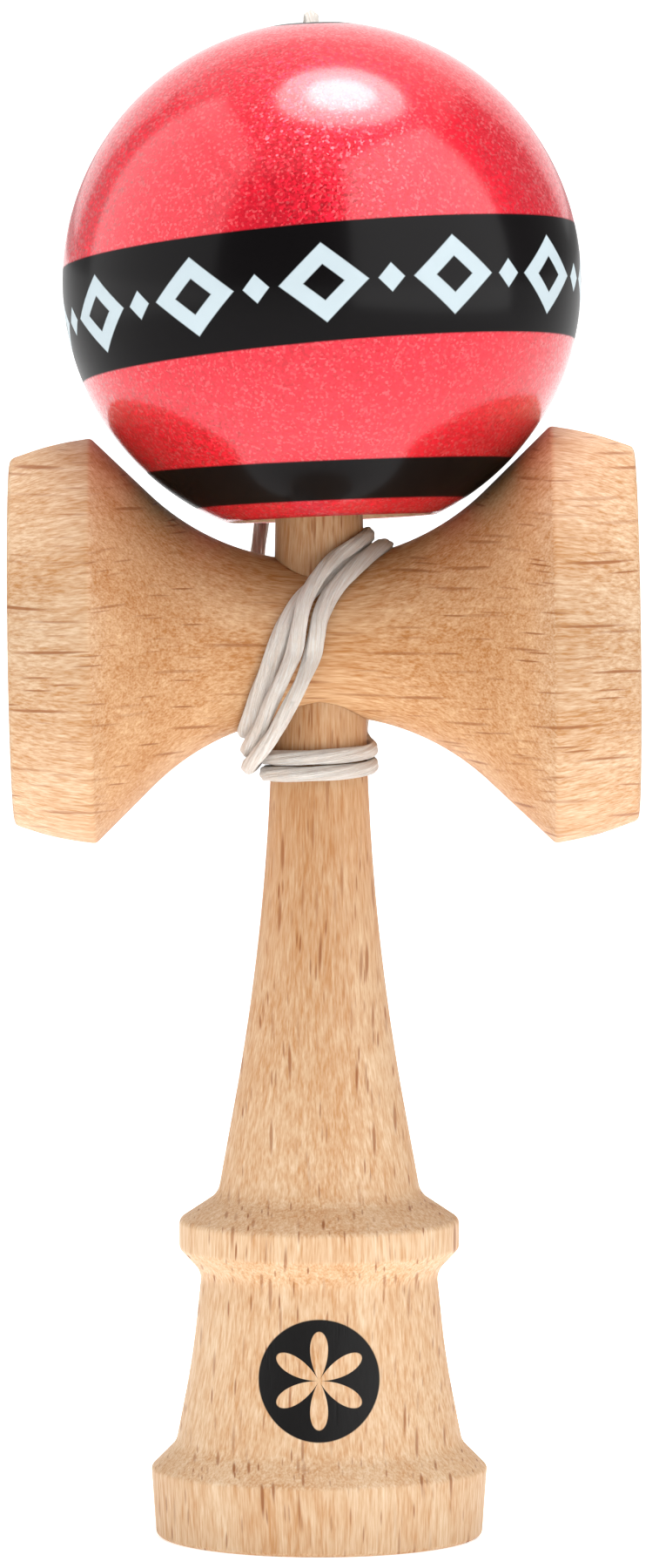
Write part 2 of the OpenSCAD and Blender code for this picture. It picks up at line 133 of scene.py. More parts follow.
glow_near = by_distance(0.06, 0.26, 0.72, 0.0)
glow_far = by_distance(0.4, 2.0, 0.45, 1.05)
foot_shadow = by_distance(0.02, 0.06, 0.1, 1.0)
glow_sum = floor_nodes.nodes.new("ShaderNodeMath")
glow_sum.operation = "MULTIPLY_ADD"
for socket, value in zip(glow_sum.inputs, (glow_near, foot_shadow, glow_far)):
    floor_nodes.links.new(value, socket)
floor_nodes.links.new(glow_sum.outputs[0], floor_bsdf.inputs["Emission Strength"])
floor_mesh.materials.append(floor_white)
studio_floor = bpy.data.objects.new("studio_floor", floor_mesh)
scene.collection.objects.link(studio_floor)

# The ken: the handle, turned in one piece from pale beech, with a cup hollowed in its foot, a collar,
# a long grip and a tapered spike. It is sanded and left bare, with a small printed rosette.
MM = 0.001


def rounded(corners, arc_step=4, soft_steps=16):
    """An outline in mm through corners (x, y), (x, y, radius) or (x, y, 0, reach) for a soft curve."""
    line = []
    for i, corner in enumerate(corners):
        b = Vector(corner[:2])
        if len(corner) == 2:
            line.append(b)
            continue
        a = Vector(corners[i - 1][:2])
        c = Vector(corners[i + 1][:2])
        u = (a - b).normalized()
        v = (c - b).normalized()
        if len(corner) == 4:
            for k in range(soft_steps + 1):
                t = k / soft_steps
                line.append(b + u * corner[3] * (1 - t) ** 2 + v * corner[3] * t ** 2)
            continue
        half = math.acos(max(-1, min(1, u.dot(v)))) / 2
        centre = b + (u + v).normalized() * corner[2] / math.sin(half)
        start = b + u * corner[2] / math.tan(half) - centre
        end = b + v * corner[2] / math.tan(half) - centre
        turn = start.angle_signed(end)
        steps = max(2, math.ceil(abs(math.degrees(turn)) / arc_step))
        for k in range(steps + 1):
            swing = -turn * k / steps
            line.append(centre + Vector((start.x * math.cos(swing) - start.y * math.sin(swing),
                                         start.x * math.sin(swing) + start.y * math.cos(swing))))
    return line


def dish(mouth_d, depth, steps=24):
    """A round dish in mm from its mouth edge to its middle, as (radius, depth below the mouth)."""
    m = mouth_d / 2
    r = (m * m + depth * depth) / (2 * depth)
    reach = math.asin(m / r)
    return [(r * math.sin(reach * (1 - k / steps)), r * math.cos(reach * (1 - k / steps)) - r + depth)
            for k in range(steps + 1)]


def finely(line, most):
    """The same outline with no stretch longer than most."""
    out = [Vector(line[0])]
    for p in line[1:]:
        p = Vector(p)
        n = max(1, math.ceil((p - out[-1]).length / most))
        start = out[-1].copy()
        for k in range(1, n + 1):
            out.append(start.lerp(p, k / n))
    return out


def lathe_tree():
    """Geometry Nodes that turn a profile, a chain of points (radius, 0, height), into a solid."""
    tree = bpy.data.node_groups.new("lathe", "GeometryNodeTree")
    face = tree.interface
    face.new_socket("Profile", in_out="INPUT", socket_type="NodeSocketGeometry")
    face.new_socket("Facets", in_out="INPUT", socket_type="NodeSocketInt")
    face.new_socket("Finish", in_out="INPUT", socket_type="NodeSocketMaterial")
    face.new_socket("Turned", in_out="OUTPUT", socket_type="NodeSocketGeometry")

    def node(kind, **values):
        n = tree.nodes.new(kind)
        for key, value in values.items():
            setattr(n, key, value)
        return n

    def math_node(operation, *inputs):
        n = node("ShaderNodeMath", operation=operation)
        for k, value in enumerate(inputs):
            if isinstance(value, (int, float)):
                n.inputs[k].default_value = value
            else:
                tree.links.new(value, n.inputs[k])
        return n.outputs[0]

    into = node("NodeGroupInput")
    size = node("GeometryNodeAttributeDomainSize", component="MESH")
    tree.links.new(into.outputs["Profile"], size.inputs["Geometry"])
    count = size.outputs["Point Count"]
    grid = node("GeometryNodeMeshGrid")
    tree.links.new(math_node("ADD", into.outputs["Facets"], 1), grid.inputs["Vertices X"])
    tree.links.new(count, grid.inputs["Vertices Y"])
    index = node("GeometryNodeInputIndex").outputs[0]
    along = math_node("MODULO", index, count)
    round_ = math_node("FLOOR", math_node("DIVIDE", math_node("ADD", index, 0.5), count))
    turn = math_node("MULTIPLY", math_node("DIVIDE", round_, into.outputs["Facets"]), 2 * math.pi)
    place = node("GeometryNodeInputPosition").outputs[0]
    sample = node("GeometryNodeSampleIndex", data_type="FLOAT_VECTOR", domain="POINT")
    tree.links.new(into.outputs["Profile"], sample.inputs["Geometry"])
    tree.links.new(place, sample.inputs["Value"])
    tree.links.new(along, sample.inputs["Index"])
    split = node("ShaderNodeSeparateXYZ")
    tree.links.new(sample.outputs[0], split.inputs[0])
    join = node("ShaderNodeCombineXYZ")
    tree.links.new(math_node("MULTIPLY", split.outputs["X"], math_node("COSINE", turn)), join.inputs["X"])
    tree.links.new(math_node("MULTIPLY", split.outputs["X"], math_node("SINE", turn)), join.inputs["Y"])
    tree.links.new(split.outputs["Z"], join.inputs["Z"])
    move = node("GeometryNodeSetPosition")
    tree.links.new(grid.outputs["Mesh"], move.inputs["Geometry"])
    tree.links.new(join.outputs[0], move.inputs["Position"])
    weld = node("GeometryNodeMergeByDistance")
    weld.inputs["Distance"].default_value = 0.002 * MM
    tree.links.new(move.outputs[0], weld.inputs[0])
    smooth = node("GeometryNodeSetShadeSmooth")
    tree.links.new(weld.outputs[0], smooth.inputs[0])
    real = node("GeometryNodeRealizeInstances")
    tree.links.new(smooth.outputs[0], real.inputs[0])
    paint = node("GeometryNodeSetMaterial")
    tree.links.new(real.outputs[0], paint.inputs["Geometry"])
    tree.links.new(into.outputs["Finish"], paint.inputs["Material"])
    out = node("NodeGroupOutput")
    tree.links.new(paint.outputs[0], out.inputs["Turned"])
    return tree


lathe = lathe_tree()


def turned(name, profile, facets, finish):
    """A turned piece, standing on the origin along +Z, from a profile in mm."""
    chain = bpy.data.meshes.new(name + "_profile")
    chain.from_pydata([(p[0] * MM, 0, p[1] * MM) for p in profile],
                      [(k, k + 1) for k in range(len(profile) - 1)], [])
    blank = bpy.data.objects.new(name, chain)
    scene.collection.objects.link(blank)
    turning = blank.modifiers.new("lathe", "NODES")
    turning.node_group = lathe
    sockets = {s.name: s.identifier for s in lathe.interface.items_tree if s.in_out == "INPUT"}
    turning[sockets["Facets"]] = facets
    turning[sockets["Finish"]] = finish
    seen = blank.evaluated_get(bpy.context.evaluated_depsgraph_get())
    mesh = bpy.data.meshes.new_from_object(seen)
    mesh.name = name
    blank.modifiers.remove(turning)
    blank.data = mesh
    if not mesh.materials:
        mesh.materials.append(finish)
    mesh.materials[0] = finish
    bpy.data.meshes.remove(chain)
    outward(mesh)
    return blank


def outward(mesh):
    """Joins doubled points and turns all faces outwards."""
    bm = bmesh.new()
    bm.from_mesh(mesh)
    bmesh.ops.remove_doubles(bm, verts=bm.verts, dist=0.001 * MM)
    bmesh.ops.recalc_face_normals(bm, faces=bm.faces)
    bm.to_mesh(mesh)
    bm.free()


class Shader:
    """A material's node tree, with short ways to add and link its nodes."""

    def __init__(self, name):
        self.material = bpy.data.materials.new(name)
        self.material.use_nodes = True
        self.tree = self.material.node_tree
        self.bsdf = self.tree.nodes["Principled BSDF"]

    def node(self, kind, inputs=None, **values):
        n = self.tree.nodes.new(kind)
        for key, value in values.items():
            setattr(n, key, value)
        for key, value in (inputs or {}).items():
            self.put(n.inputs[key], value)
        return n

    def put(self, socket, value):
        if isinstance(value, bpy.types.NodeSocket):
            self.tree.links.new(value, socket)
        else:
            socket.default_value = value

    def math(self, operation, a, b=0.0, clamp=False):
        n = self.node("ShaderNodeMath", {0: a, 1: b}, operation=operation)
        n.use_clamp = clamp
        return n.outputs[0]

    def vector(self, operation, a, b=(0, 0, 0), out=0):
        return self.node("ShaderNodeVectorMath", {0: a, 1: b}, operation=operation).outputs[out]

    def ramp(self, value, low, high, to_low=0.0, to_high=1.0):
        return self.node("ShaderNodeMapRange", {"Value": value, "From Min": low, "From Max": high,
                                                "To Min": to_low, "To Max": to_high}).outputs[0]

    def mix(self, share, a, b, blend="MIX"):
        n = self.node("ShaderNodeMix", data_type="RGBA", blend_type=blend)
        self.put(n.inputs[0], share)
        self.put(n.inputs[6], a)
        self.put(n.inputs[7], b)
        return n.outputs[2]

    def noise(self, place, scale, detail=2.0, rough=0.5):
        return self.node("ShaderNodeTexNoise", {"Vector": place, "Scale": scale, "Detail": detail,
                                                "Roughness": rough}).outputs[0]


def srgb(r, g, b):
    """A colour in the linear values that the nodes take."""
    def linear(c):
        c = c / 255
        return c / 12.92 if c <= 0.04045 else ((c + 0.055) / 1.055) ** 2.4
    return (linear(r), linear(g), linear(b), 1.0)


def beech(name, turn, pale, deep, fleck_colour, shift, fleck_reach, fleck_depth, darken=None):
    """Bare turned beech, its grain along Z once the object's coordinates are turned.

    Darken is (start, full, share, tint), by the distance along the grain: painted shade, the tint multiplied
    into the colour over part of the piece.
    """
    s = Shader(name)
    place = s.node("ShaderNodeTexCoord").outputs["Object"]
    straight = s.node("ShaderNodeMapping", {"Vector": place, "Rotation": turn, "Location": shift}).outputs[0]
    wander = s.node("ShaderNodeTexNoise", {"Vector": straight, "Scale": 40.0, "Detail": 1.0}).outputs["Color"]
    wander_reach = (2.2 * MM, 2.2 * MM, 0)
    place = s.vector("MULTIPLY_ADD", s.vector("SUBTRACT", wander, (0.5, 0.5, 0.5)), wander_reach)
    s.put(place.node.inputs[2], straight)
    bands = s.noise(s.vector("MULTIPLY", place, (150, 150, 9)), 1.0, 2.0)
    streaks = s.noise(s.vector("MULTIPLY", place, (1500, 1500, 75)), 1.0, 3.0, 0.6)
    hairs = s.noise(s.vector("MULTIPLY", place, (4200, 4200, 330)), 1.0, 2.0, 0.6)
    tone = s.math("ADD", s.math("MULTIPLY", s.ramp(bands, 0.3, 0.7), 0.3),
                  s.math("MULTIPLY", s.ramp(streaks, 0.3, 0.7), 0.4))
    tone = s.math("ADD", tone, s.math("MULTIPLY", s.ramp(hairs, 0.3, 0.7), 0.55), clamp=True)
    colour = s.mix(tone, pale, deep)
    if darken:
        # Painted shade: the colour is multiplied by the tint, by the distance along the grain.
        start, full, share, tint = darken
        along_grain = s.math("SUBTRACT", s.node("ShaderNodeSeparateXYZ", {0: place}).outputs["Z"], shift[2])
        painted_shade = s.ramp(s.math("ABSOLUTE", along_grain), start, full, 0.0, share)
        colour = s.mix(painted_shade, colour, tint, "MULTIPLY")
    long_flecks = (1 / 0.0009, 1 / fleck_reach, 0.75, 0.14)
    short_flecks = (1 / 0.00055, 2 / fleck_reach, 0.6, 0.13)
    fleck_mask = None
    for across, along, keep, width in (long_flecks, short_flecks):
        stretched = s.vector("MULTIPLY", place, (across, across / fleck_depth, along))
        cells = s.node("ShaderNodeTexVoronoi", {"Vector": stretched, "Scale": 1.0},
                       voronoi_dimensions="3D", feature="F1")
        luck = s.node("ShaderNodeSeparateColor", {0: cells.outputs["Color"]})
        dash = s.ramp(cells.outputs["Distance"], width, width * 2.0, 1.0, 0.0)
        dash = s.math("MULTIPLY", dash, s.ramp(luck.outputs[0], keep, keep + 0.05, 1.0, 0.0))
        dash = s.math("MULTIPLY", dash, s.ramp(luck.outputs[1], 0.0, 1.0, 0.2, 0.95))
        fleck_mask = dash if fleck_mask is None else s.math("MAXIMUM", fleck_mask, dash)
    colour = s.mix(fleck_mask, colour, fleck_colour)
    fibres = s.math("ADD", s.math("MULTIPLY", streaks, 0.5), s.math("MULTIPLY", hairs, 0.5))
    relief = s.math("SUBTRACT", fibres, s.math("MULTIPLY", fleck_mask, 0.8))
    bump = s.node("ShaderNodeBump", {"Height": relief, "Strength": 0.35, "Distance": 0.00012})
    s.put(s.bsdf.inputs["Normal"], bump.outputs[0])
    s.put(s.bsdf.inputs["Roughness"], s.ramp(tone, 0, 1, 0.46, 0.6))
    s.bsdf.inputs["Specular IOR Level"].default_value = 0.14
    s.put(s.bsdf.inputs["Base Color"], colour)
    return s, colour


KEN_PALE = srgb(222, 201, 172)
KEN_DEEP = srgb(185, 138, 93)
FLECK = srgb(140, 86, 48)

# The darken tint is painted shade under the cross-piece and ball: it deepens from 40 mm up the grain to 85 mm
# and stays over the neck and spike.
ken_wood, ken_colour = beech("ken_beech", (0, 0, 0), KEN_PALE, KEN_DEEP, FLECK,
                             shift=(0.03, 0.011, 0.2), fleck_reach=0.01, fleck_depth=4,
                             darken=(0.04, 0.085, 0.8, srgb(222, 204, 184)))

PRINT_Z = 20.0
PRINT_R = 7.0
PRINT_EDGE = 0.06
PETAL_R = 5.6
INK = srgb(6, 5, 5)


def printed_rosette(s, colour):
    """A black disc on the front of the body, with six petals left bare."""
    place = s.node("ShaderNodeTexCoord").outputs["Object"]
    split = s.node("ShaderNodeSeparateXYZ", {0: place})
    across = split.outputs["X"]
    up = s.math("SUBTRACT", split.outputs["Z"], PRINT_Z * MM)
    reach = s.math("SQRT", s.math("ADD", s.math("MULTIPLY", across, across), s.math("MULTIPLY", up, up)))
    turn = s.math("ARCTAN2", across, up)
    lobes = s.math("ABSOLUTE", s.math("COSINE", s.math("MULTIPLY", turn, 3.0)))
    petal = s.math("MULTIPLY", lobes, PETAL_R * MM)
    inked = s.ramp(reach, (PRINT_R - PRINT_EDGE) * MM, (PRINT_R + PRINT_EDGE) * MM, 1.0, 0.0)
    bare = s.ramp(s.math("SUBTRACT", petal, reach), -PRINT_EDGE * MM, PRINT_EDGE * MM)
    inked = s.math("MULTIPLY", inked, s.math("SUBTRACT", 1.0, bare))
    inked = s.math("MULTIPLY", inked, s.ramp(split.outputs["Y"], -0.001, 0.0, 1.0, 0.0))
    worn = s.noise(s.vector("MULTIPLY", place, (1500, 1500, 240)), 1.0, 3.0)
    inked = s.math("MULTIPLY", inked, s.ramp(worn, 0.72, 0.82, 1.0, 0.75))
    s.put(s.bsdf.inputs["Base Color"], s.mix(inked, colour, INK))


printed_rosette(ken_wood, ken_colour)

LONGEST_STRETCH = 1.6
ken_profile = rounded([
    (16.5, 0), (19, 0, 0.7), (19.6, 8, 0.7), (16.7, 10.9, 2.6), (14.75, 20.9, 0, 4), (13.7, 30.9, 2.6),
    (16.3, 33.7, 0.9), (16.3, 37, 0.9), (11.8, 40, 2.6), (6.3, 70.16, 0, 20), (5.55, 92, 52),
    (4.6, 146.9, 6.5), (1.3, 153.4, 1.3), (0, 153.4)])
ken_cup = [Vector(p) for p in dish(mouth_d=33, depth=7)]
ken_line = finely(ken_cup[::-1] + ken_profile, LONGEST_STRETCH)
ken = turned("ken_wood", ken_line, 128, ken_wood.material)
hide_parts("ken")
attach(ken, "ken")

# The string: one length of soft off-white cotton, knotted inside the cross-piece, wound round the neck and
# nearly three times over the crossing, then led up behind the ball, over it and down through its hole.
STRING_D = 1.8
PRESSED_W = 1.8
PRESSED_T = 1.25
CROSSING_W = 2.25
STRING_CLEAR = 0.06
TURN_GAP = 0.03
CROSS_Z = 104.8
CROSS_LEAN = math.radians(0.8)
WAIST_D = 18.0
WAIST_REACH = 11.3
WAIST_STEPS = 20
NECK_Z = 92.0
NECK_R = 5.55
SPIKE_TIP_Z = 146.9
SPIKE_R = 4.6
GRIP_FOOT_Z = 40


def taper_r(z):
    return NECK_R + (SPIKE_R - NECK_R) * (z - NECK_Z) / (SPIKE_TIP_Z - NECK_Z)


def cup_half(reach, ridge_x, ridge_d, rim_d, cup_d, cup_depth):
    """Half of the cross-piece's outline, from its waist to the middle of a cup, as (radius, distance)."""
    turn = math.atan2((ridge_d - WAIST_D) / 2, ridge_x - WAIST_REACH)
    r = WAIST_REACH / math.tan(turn / 2)
    hub = WAIST_D / 2 + r
    angles = [turn * k / WAIST_STEPS for k in range(WAIST_STEPS + 1)]
    waist = [Vector((hub - r * math.cos(a), r * math.sin(a))) for a in angles]
    edge = rounded([tuple(waist[-1]), (ridge_d / 2, ridge_x, 0.8),
                    ((ridge_d + rim_d) / 4 + 0.45, (ridge_x + reach) / 2, 0, (reach - ridge_x) * 0.3),
                    (rim_d / 2, reach, 0.8), (cup_d / 2, reach)])
    bowl = [Vector((bowl_r, reach - below)) for bowl_r, below in dish(cup_d, cup_depth)]
    return waist + edge[1:] + bowl[1:]


big_half = cup_half(reach=36.8, ridge_x=27.1, ridge_d=48.4, rim_d=43.2, cup_d=39.0, cup_depth=11.0)
small_half = cup_half(reach=35.6, ridge_x=26.2, ridge_d=47.0, rim_d=42.4, cup_d=37.0, cup_depth=10.5)


def look_up(value, pairs):
    """The second of a pair at a value of the first, in straight lines between the pairs."""
    if value <= pairs[0][0]:
        return pairs[0][1]
    for (a, p), (b, q) in zip(pairs, pairs[1:]):
        if value <= b:
            return p + (q - p) * (value - a) / (b - a) if b > a else q
    return pairs[-1][1]


BIG_WALL = [(p.y, p.x) for p in big_half[:WAIST_STEPS + 1]]
SMALL_WALL = [(p.y, p.x) for p in small_half[:WAIST_STEPS + 1]]
KEN_WALL = [(p.y, p.x) for p in ken_profile if p.y > GRIP_FOOT_Z]


def ken_r(z):
    return look_up(z, KEN_WALL)


def cross_r(x):
    return look_up(abs(x), SMALL_WALL if x < 0 else BIG_WALL)


def cross_axis_z(x):
    return CROSS_Z + x * math.sin(CROSS_LEAN)


def ease(t):
    """A soft step from 0 to 1."""
    t = min(1.0, max(0.0, t))
    return t * t * (3 - 2 * t)


def spline(p0, p1, p2, p3, t):
    """A Catmull-Rom curve from p1 to p2."""
    return 0.5 * (2 * p1 + (p2 - p0) * t + (2 * p0 - 5 * p1 + 4 * p2 - p3) * t * t
                  + (3 * p1 - p0 - 3 * p2 + p3) * t ** 3)


def bridge(p, v, q, w, n):
    """Points between p, left along v, and q, met along w."""
    out = []
    for k in range(1, n + 1):
        t = k / (n + 1)
        e = ease(t)
        out.append(p * (1 - e) + q * e + v * t * (1 - t) ** 2 - w * t * t * (1 - t))
    return out


HUG = PRESSED_T / 2 + STRING_CLEAR
TURN_PITCH = PRESSED_W + TURN_GAP
HOLE_TURN = math.radians(25)
HOLE_WAY = Vector((math.sin(HOLE_TURN), math.cos(HOLE_TURN), 0))
HOLE_Z = CROSS_Z - 4.5
START_OFF_TAPER = 2.2
STRAIGHT_OUT = 1.9
HOLE_BEND_R = 3.2
HOLE_BEND_TO = 130
winding_start = HOLE_WAY * (taper_r(HOLE_Z) + START_OFF_TAPER) + Vector((0, 0, HOLE_Z))
winding_out = winding_start + HOLE_WAY * STRAIGHT_OUT


def hole_bend(degrees):
    """The string's bend downwards as it leaves its hole."""
    a = math.radians(degrees)
    return winding_out + HOLE_BEND_R * (HOLE_WAY * math.sin(a) + Vector((0, 0, math.cos(a) - 1)))


NECK_TURNS = 2
NECK_TO = NECK_TURNS * 360 - 135
NECK_TURN_Z = CROSS_Z - WAIST_D / 2 - 3.9
NECK_PITCH = TURN_PITCH + STRING_CLEAR


def neck_point(degrees):
    """The turns on the neck, going down."""
    z = NECK_TURN_Z - NECK_PITCH * degrees / 360
    r = ken_r(z) + HUG
    a = math.radians(degrees)
    return Vector((r * math.cos(a), -r * math.sin(a), z))


CROSS_TURNS = 3
CROSS_FROM = -75
CROSS_TO = CROSS_TURNS * 360 - 165
FRONT_LIFT_SHARE = 0.35
TOP_LIFT_SHARE = 0.87
TOP_PITCH = TURN_PITCH * math.sqrt(1 - TOP_LIFT_SHARE ** 2)
CROSS_BULGE = 1.6
FRONT_SPREAD = 0.4
SWEEP_STEP = 20
SWEEP = (3.3, 0.3, -2.7, -4.7, -5.9, -7.1, -7.9, -8.5)
BELOW_PITCH = 1.9
TOP_TUCK = 0.8
CROSS_HUG = HUG + STRING_CLEAR
POINT_SHARE = 0.96
SPIKE_SIDE_X = taper_r(CROSS_Z + WAIST_D / 2) + HUG + STRING_CLEAR / 2 - TOP_PITCH / 2
OUTER_R = ken_r(NECK_TURN_Z - NECK_TURNS * NECK_PITCH) + HUG + PRESSED_T + STRING_CLEAR
SADDLE_R = 28
SADDLE_SLOPE = (SPIKE_SIDE_X + TURN_PITCH) / SADDLE_R


def sweep_x(degrees):
    """Where a turn crosses the front, from beside the spike at 0 degrees to beside the neck at 180."""
    knots = [SPIKE_SIDE_X, SPIKE_SIDE_X, *SWEEP, -OUTER_R, -OUTER_R]
    k = min(int(degrees // SWEEP_STEP), len(SWEEP))
    t = degrees / SWEEP_STEP - k
    return spline(*knots[k:k + 4], t)


def loop_point(degrees):
    """The middle line of the turns over the crossing, on the wood."""
    a = math.radians(degrees)
    if degrees % 360 < 180:
        x = sweep_x(degrees % 360)
    else:
        ramp = math.asin(POINT_SHARE * math.cos(a)) / math.asin(POINT_SHARE)
        x = (SPIKE_SIDE_X - OUTER_R) / 2 + (SPIKE_SIDE_X + OUTER_R) / 2 * ramp - CROSS_BULGE * math.sin(a) ** 2
    r = cross_r(x) + CROSS_HUG
    return Vector((x, -r * math.sin(a), cross_axis_z(x) + r * math.cos(a)))


def cross_point(degrees):
    """The turns over the crossing, side by side in front and riding over each other beside the spike."""
    a = math.radians(degrees)
    way = (loop_point(degrees + 1) - loop_point(degrees - 1)).normalized()
    up = max(0, math.cos(a))
    outwards = Vector((min(0, math.cos(a)) - SADDLE_SLOPE * up, -math.sin(a), up))
    side = outwards.cross(way).normalized()
    out = way.cross(side)
    on_cross = ease((math.cos(a) + 0.866) / 0.6)
    rides = ease((degrees - 150) / 60) - ease((degrees - 510) / 60)
    by_spike = ease((math.cos(a) + 0.1) / 0.9)
    lift_share = FRONT_LIFT_SHARE + (TOP_LIFT_SHARE - FRONT_LIFT_SHARE) * by_spike
    pitch = BELOW_PITCH + (TURN_PITCH * math.sqrt(1 - lift_share ** 2) - BELOW_PITCH) * on_cross
    pitch += FRONT_SPREAD * max(0, math.sin(a)) ** 2
    turns_to_go = CROSS_TURNS - 0.5 - degrees / 360
    p = loop_point(degrees) + side * pitch * turns_to_go + out * lift_share * TURN_PITCH * on_cross * rides
    p -= side * TOP_TUCK * by_spike * rides
    near_neck = ease((NECK_TURN_Z + 2 * TURN_PITCH - p.z) / TURN_PITCH)
    keep = max(OUTER_R * near_neck, ken_r(p.z) + HUG + STRING_CLEAR / 2)
    grow = max(1, keep / math.hypot(p.x, p.y))
    p = Vector((p.x * grow, p.y * grow, p.z))
    lift = Vector((p.y, p.z - cross_axis_z(p.x)))
    grow = max(1, (cross_r(p.x) + CROSS_HUG) / lift.length)
    return Vector((p.x, lift.x * grow, cross_axis_z(p.x) + lift.y * grow))


LEAD_ROUTE = [Vector(p) for p in (
    (-9, 10.2, 99.2), (-8.8, 11, 100.8), (-8.3, 13.2, 105), (-7.7, 15.4, 109.4), (-7.2, 17.7, 113.9),
    (-6.6, 20, 118.4), (-6.1, 22.3, 122.9), (-5.5, 24.6, 127.4), (-5, 26.8, 131.8), (-4.5, 28.6, 136),
    (-4, 29.8, 140.3), (-3.6, 30.4, 144.7), (-3.2, 30.3, 149.1), (-2.8, 29.6, 153.5), (-2.4, 28.3, 157.7),
    (-2.1, 26.4, 161.7), (-1.8, 23.9, 165.4), (-1.6, 20.9, 168.7), (-1.4, 17.4, 171.6), (-1.2, 13.5, 174),
    (-1, 9.1, 175.75), (-0.95, 5.7, 176.45), (-0.95, 4, 176.1), (-0.9, 2.45, 174.95), (-0.85, 1.78, 173.9),
    (-0.8, 1.58, 172.88), (-0.73, 1.44, 171.26))]
BALL_AT = Vector((0.316568, -0.621521, 146.147))
BALL_AXIS = Vector((-0.0417348, 0.0819385, 0.995763))
TAIL_TOP = 25.2
TAIL_END = 9.58
TAIL_STEPS = 4


def heading(curve, degrees):
    return (curve(degrees + 1) - curve(degrees)).normalized()


lead_way = (LEAD_ROUTE[1] - LEAD_ROUTE[0]).normalized()
winding_in = LEAD_ROUTE[0] - STRING_D * lead_way
neck_in = heading(neck_point, 0)
neck_out = heading(neck_point, NECK_TO)
rise = heading(cross_point, CROSS_FROM)
under = heading(cross_point, CROSS_TO - 1)
bent = heading(hole_bend, HOLE_BEND_TO - 1)
PULL = 11.9
UNDER_PULL = 6.8
BEND_STEP = 26
TURN_STEP = 15
string_route = [winding_start] + [hole_bend(a) for a in range(0, HOLE_BEND_TO + 1, BEND_STEP)]
string_route += bridge(hole_bend(HOLE_BEND_TO), bent * PULL, neck_point(0), neck_in * PULL, 3)
string_route += [neck_point(a) for a in range(0, NECK_TO + 1, TURN_STEP)]
string_route += bridge(neck_point(NECK_TO), neck_out * 2.5 * PULL, cross_point(CROSS_FROM), rise * 2 * PULL, 6)
string_route += [cross_point(a) for a in range(CROSS_FROM, CROSS_TO + 1, TURN_STEP)]
string_route += bridge(cross_point(CROSS_TO), under * UNDER_PULL, winding_in, lead_way * UNDER_PULL, 2)
string_route += [winding_in] + LEAD_ROUTE
string_route += [BALL_AT + BALL_AXIS * (TAIL_TOP + (TAIL_END - TAIL_TOP) * k / TAIL_STEPS)
                 for k in range(1, TAIL_STEPS + 1)]


def smooth_path(points, step):
    """A smooth curve through the points, in even steps."""
    fine = []
    for i in range(len(points) - 1):
        p0 = points[max(i - 1, 0)]
        p1, p2 = points[i], points[i + 1]
        p3 = points[min(i + 2, len(points) - 1)]
        n = max(2, math.ceil((p2 - p1).length / (step / 4)))
        for k in range(n):
            fine.append(spline(p0, p1, p2, p3, k / n))
    fine.append(points[-1])
    total = sum((b - a).length for a, b in zip(fine, fine[1:]))
    count = round(total / step)
    even, walked, k = [fine[0]], 0.0, 0
    for i in range(1, count):
        goal = total * i / count
        while walked + (fine[k + 1] - fine[k]).length < goal:
            walked += (fine[k + 1] - fine[k]).length
            k += 1
        even.append(fine[k].lerp(fine[k + 1], (goal - walked) / (fine[k + 1] - fine[k]).length))
    return even + [fine[-1]]


PRESS_FADE = 2.6
PLY_ROUND = 0.8


def pressed(p):
    """How flat the string lies at a point, which way it is pressed, off the wood under it, and how wide."""
    off_ken = Vector((p.x, p.y, 0))
    off_cross = Vector((0, p.y, p.z - cross_axis_z(p.x)))
    on_ken = ease(1 - (off_ken.length - ken_r(p.z) - HUG) / PRESS_FADE)
    on_cross = ease(1 - (off_cross.length - cross_r(p.x) - CROSS_HUG) / PRESS_FADE)
    way = off_ken.normalized() * on_ken + off_cross.normalized() * on_cross
    return max(on_ken, on_cross), way, PRESSED_W + (CROSSING_W - PRESSED_W) * on_cross * (1 - on_ken)


